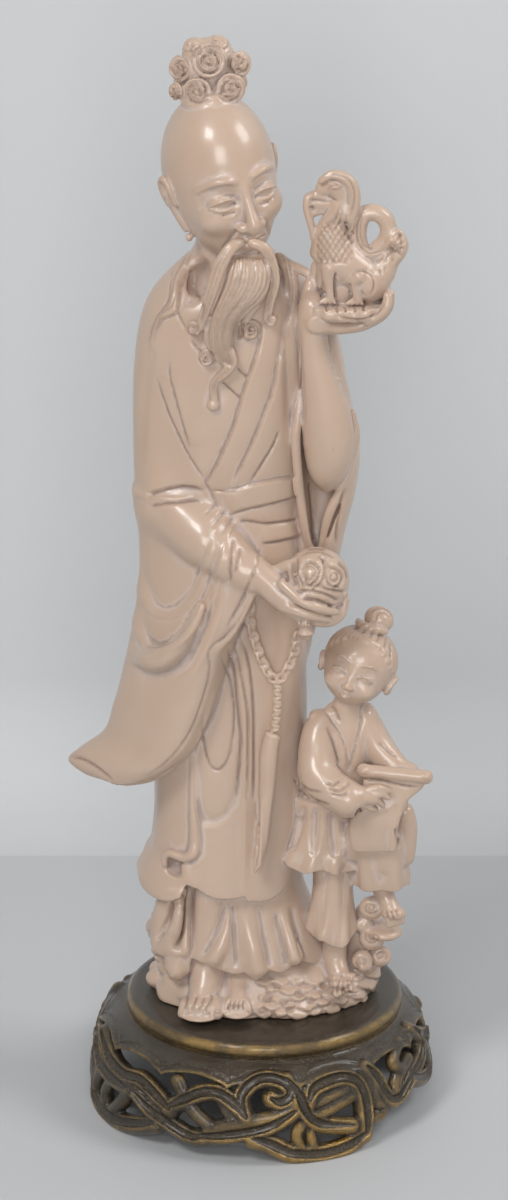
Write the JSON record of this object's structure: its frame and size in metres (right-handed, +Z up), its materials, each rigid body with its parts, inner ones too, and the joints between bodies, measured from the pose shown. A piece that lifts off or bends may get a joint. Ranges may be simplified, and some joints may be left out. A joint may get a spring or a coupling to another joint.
{
  "type": "resin statuette",
  "caption": "Cast resin statuette of a bearded sage with a beast on a raised hand and a boy reading at the side, on a pierced bronze-coloured stand.",
  "frame": {"origin": "middle of the whole object's footprint box, on the ground under the stand", "axes": "+Z up, -Y the way the sage's front faces, +X to the right of someone looking at that front"},
  "size_m": [0.1187, 0.1138, 0.3565],
  "materials": {
    "resin": "pale pinkish-beige cast resin, softly glossy, with whitish dust left in the hollows",
    "bronze": "dark brown patina, rubbed back to gold on the raised edges"
  },
  "bodies": {
    "root": {"figure_group": "resin", "pierced_stand": "bronze"}
  },
  "joints": []
}
